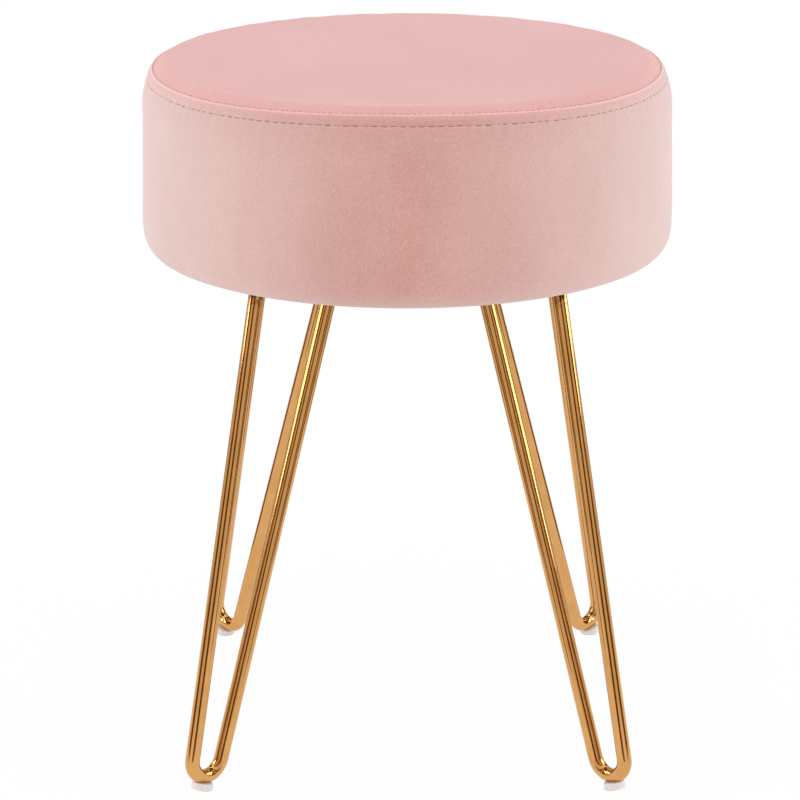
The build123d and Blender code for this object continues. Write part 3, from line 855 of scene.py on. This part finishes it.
filling_columns = 256
foam_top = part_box("foam_block")[1][2]
foam_edge = 7 * MM
foam_section = join(
    line((pole_radius, board_top), (board_radius, board_top), 20),
    line((board_radius, board_top), (board_radius, foam_top - foam_edge), 20),
    arc((board_radius - foam_edge, foam_top - foam_edge), foam_edge, 0, np.pi / 2, 9),
    line((board_radius - foam_edge, foam_top), (pole_radius, foam_top), 20),
)
foam_grid = revolve(foam_section, filling_columns)
block = surface("foam_filling", foam_grid, caps=("first", "last"), material=foam, slot="foam")
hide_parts("foam_block")

strip_low, strip_high = (corner[2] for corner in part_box("side_wadding"))
strip_gap, strip_soft, strip_taper = 0.8 * MM, 2.2 * MM, 4 * MM
strip_outer = seat_radius - velvet - strip_gap
foot_height = strip_low + strip_soft
foot_round = strip_soft / 2
inner_neck = (board_radius, strip_high - strip_taper)
outer_neck = (strip_outer, roll_start - strip_taper)
tip_height, tip_radius = strip_high - 1 * MM, 0.6 * MM
strip_section = join(
    line((board_radius, foot_height), inner_neck, 24),
    line(inner_neck, (board_radius + 1 * MM, strip_high - 0.4 * MM), 4),
    arc((board_radius + 1.6 * MM, tip_height), tip_radius, np.pi * 0.75, 0, 5),
    line((board_radius + 2.2 * MM, tip_height), outer_neck, 6),
    line(outer_neck, (strip_outer, foot_height), 24),
    arc((strip_outer - foot_round, foot_height), foot_round, 0, -np.pi / 2, 5),
    line((strip_outer - foot_round, strip_low + foot_round), (board_radius, foot_height), 4),
)[:-1]
strip = surface(
    "wadding_strip", revolve(strip_section, filling_columns), wrap_rows=True,
    material=fleece, slot="wadding", flip=True,
)
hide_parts("side_wadding")

pad_under, pad_round = 2.2 * MM, 3 * MM
foam_flat = board_radius - foam_edge
pad_shoulder = (shoulder_radius, shoulder_height - pad_under)
top_pad_section = join(
    line((pole_radius, foam_top), (foam_flat, foam_top), 20),
    arc((foam_flat, foam_top + pad_round), pad_round, -np.pi / 2, np.pi / 2 - 0.5, 9),
    line((foam_flat + 1.4 * MM, foam_top + 5.6 * MM), pad_shoulder, 8),
    line(pad_shoulder, (pole_radius, crown_height - pad_under), 20),
)
top_pad = surface(
    "wadding_pad", revolve(top_pad_section, filling_columns), caps=("first", "last"),
    material=fleece, slot="wadding",
)
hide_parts("top_wadding")

# %% [markdown]
# Plain pieces
#
# The board, plates, bolts, washers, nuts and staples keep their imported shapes, which are right, and
# get finishes: gold plating on the plates, zinc on the fasteners, layered birch on the board.

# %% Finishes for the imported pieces
zinc, zinc_tree, zinc_shader = finish("zinc_plate", Metallic=1.0)
spangle = noise(zinc_tree, 500, detail=2.0)
two_tone(zinc_tree, zinc_shader, spangle, linear(176, 178, 182), linear(214, 216, 220))
dulled = spread(zinc_tree, spangle, 0.3, 0.7, to_low=0.22, to_high=0.38)
zinc_tree.links.new(dulled, zinc_shader.inputs["Roughness"])
birch, birch_tree, birch_shader = finish("birch_plywood", Roughness=0.6, Specular_IOR_Level=0.3)
grain = noise(birch_tree, 60, stretch=(0.25, 3, 12), detail=6.0, roughness=0.6)
two_tone(birch_tree, birch_shader, grain, linear(186, 146, 100), linear(226, 194, 150))
bump(birch_tree, birch_shader, grain, strength=0.2, distance=0.3 * MM)
zinc_pieces = ("t_nuts", "leg_bolts", "leg_washers", "hem_staples", "dust_cover_staples")
packed_finishes = {"seat_board": birch}
packed_finishes.update({node: zinc for node in zinc_pieces})
packed_finishes.update({f"leg_plate_{leg}": gold for leg in leg_angles})
for node, material in packed_finishes.items():
    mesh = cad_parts[node].data
    mesh.materials.clear()
    mesh.materials.append(material)
print("packed pieces finished:", len(packed_finishes))

# %% [markdown]
# Floor, background and light
#
# The stool stands on a pale floor that fades to white. What the camera, the mirrors and the clear
# pieces see there is white at a strength of one, while only a plain level of light falls on the stool.

# %% Floor and world
def seen_directly(tree):
    """One where a camera, glossy or transmission ray looks, nought where light is only gathered."""
    path = tree.nodes.new("ShaderNodeLightPath")
    both = tree.nodes.new("ShaderNodeMath")
    both.operation = "MAXIMUM"
    every = tree.nodes.new("ShaderNodeMath")
    every.operation = "MAXIMUM"
    tree.links.new(path.outputs["Is Camera Ray"], both.inputs[0])
    tree.links.new(path.outputs["Is Glossy Ray"], both.inputs[1])
    tree.links.new(both.outputs[0], every.inputs[0])
    tree.links.new(path.outputs["Is Transmission Ray"], every.inputs[1])
    return every.outputs[0]


floor_radius = 9.0
fade_start, fade_end, near_white = 0.25, 0.8, 0.955
floor_grid = revolve(line((0.05, 0.0), (floor_radius, 0.0), 24), 96)
floor = surface("floor", floor_grid, caps=("first",), flip=True)
pale, pale_tree, pale_shader = finish("pale_floor", Roughness=0.9, Specular_IOR_Level=0.0)
pale_shader.inputs["Base Color"].default_value = (0.94, 0.94, 0.94, 1.0)
glow = pale_tree.nodes.new("ShaderNodeEmission")
mix = pale_tree.nodes.new("ShaderNodeMixShader")
share = pale_tree.nodes.new("ShaderNodeMath")
share.operation = "MULTIPLY"
where = pale_tree.nodes.new("ShaderNodeTexCoord")
length = pale_tree.nodes.new("ShaderNodeVectorMath")
length.operation = "LENGTH"
pale_tree.links.new(where.outputs["Object"], length.inputs[0])
whiteness = spread(pale_tree, length.outputs["Value"], fade_start, fade_end, to_low=near_white)
pale_tree.links.new(whiteness, share.inputs[0])
pale_tree.links.new(seen_directly(pale_tree), share.inputs[1])
pale_tree.links.new(share.outputs[0], mix.inputs["Fac"])
pale_tree.links.new(pale_shader.outputs[0], mix.inputs[1])
pale_tree.links.new(glow.outputs[0], mix.inputs[2])
pale_tree.links.new(mix.outputs[0], pale_tree.nodes["Material Output"].inputs["Surface"])
floor.data.materials.append(pale)

world = bpy.data.worlds.new("studio")
world.use_nodes = True
scene.world = world
sky = world.node_tree.nodes["Background"]
ambient_level = 0.72
level = spread(world.node_tree, seen_directly(world.node_tree), 0.0, 1.0, to_low=ambient_level)
world.node_tree.links.new(level, sky.inputs["Strength"])
sky.inputs["Color"].default_value = (1.0, 1.0, 1.0, 1.0)

# %% Soft lamps
def softbox(name, place, aim, size, power):
    """A square area lamp at a place, turned towards an aim point."""
    lamp = bpy.data.lights.new(name, "AREA")
    lamp.size = size
    lamp.energy = power
    holder = bpy.data.objects.new(name, lamp)
    scene.collection.objects.link(holder)
    back = np.array(place) - np.array(aim)
    back /= np.linalg.norm(back)
    right = np.cross((0, 0, 1.0), back)
    right /= np.linalg.norm(right)
    up = np.cross(back, right)
    rows = np.column_stack([right, up, back, np.array(place)])
    holder.matrix_world = Matrix(rows.tolist() + [[0, 0, 0, 1]])


seat_middle = (0.0, 0.0, 0.39)
for side, across in (("left", -1), ("right", 1)):
    softbox(f"{side}_softbox", (across * 1.95, -0.65, 0.9), seat_middle, size=1.2, power=13)
softbox("top_softbox", (0.0, 0.3, 2.3), seat_middle, size=1.6, power=9)

# %% [markdown]
# Cards for the polished rods to mirror
#
# A polished rod has hardly any colour of its own: it shows what stands round it, squeezed into narrow
# upright lines. A photographer draws such lines with a grey surround, dark cards near the metal and
# bright strips beside it. Here only reflections show them: they shade nothing and stay out of every
# view.

# %% Grey surround, dark cards and bright strips
def mirror_only(piece, colour):
    """Give a studio card a plain glow and let nothing but mirrors see it."""
    material, tree, _ = finish(piece.name + "_glow")
    glow = tree.nodes.new("ShaderNodeEmission")
    glow.inputs["Color"].default_value = colour + (1.0,)
    tree.links.new(glow.outputs[0], tree.nodes["Material Output"].inputs["Surface"])
    piece.data.materials.append(material)
    piece.visible_camera = False
    piece.visible_diffuse = False
    piece.visible_shadow = False
    piece.visible_transmission = False


def card(name, x, y, width, low, high):
    """An upright card, square to the line from the stool's axis, from a low to a high edge."""
    across = np.linspace(-width / 2, width / 2, 3)[None, :]
    up = np.linspace(low, high, 3)[:, None]
    reach = math.hypot(x, y)
    points = [x - across * y / reach + 0 * up, y + across * x / reach + 0 * up, up + 0 * across]
    return surface(name, np.stack(points, axis=-1), wrap_columns=False)


dim_grey, card_brown, card_bright = (0.77, 0.75, 0.70), (0.17, 0.07, 0.008), (7.0, 6.8, 6.6)
surround_radius, surround_top, card_top = 0.8, 0.85, 0.6
surround_section = line((surround_radius, 0.0), (surround_radius, surround_top), 5)
surround = surface("grey_surround", revolve(surround_section, 64))
mirror_only(surround, dim_grey)
for side, across, strip_foot in (("left", -1, 0.285), ("right", 1, 0.24)):
    card_kinds = (
        ("brown_card", (0.125, 0.26), 0.07, 0.0, card_top, card_brown),
        ("brown_card_side", (0.35, 0.22), 0.14, 0.0, card_top, card_brown),
        ("bright_card", (0.78, 0.15), 0.12, strip_foot, surround_top, card_bright),
    )
    for end, along_y in (("front", -1), ("back", 1)):
        for kind, (out_x, out_y), width, low, high, colour in card_kinds:
            upright = card(f"{kind}_{end}_{side}", across * out_x, along_y * out_y, width, low, high)
            mirror_only(upright, colour)

# %% [markdown]
# Camera
#
# The camera's place was fitted to the photograph: about 1.9 m in front of the stool, a little above
# it, looking down by under 18 degrees with a long lens.

# %% Camera
sensor_width = 36.0
focal_pixels, picture_pixels = 2954, 800
camera_place = (-0.0049, -1.870, 0.8179)
camera_data = bpy.data.cameras.new("photo_camera")
camera_data.sensor_width = sensor_width
camera_data.lens = sensor_width * focal_pixels / picture_pixels
camera = bpy.data.objects.new("photo_camera", camera_data)
scene.collection.objects.link(camera)
look_down = Matrix.Rotation(math.radians(90 - 17.72), 4, "X")
roll = Matrix.Rotation(math.radians(-0.12), 4, "Z")
camera.matrix_world = Matrix.Translation(camera_place) @ look_down @ roll
scene.camera = camera
print("camera lens", round(camera_data.lens, 1), "mm")
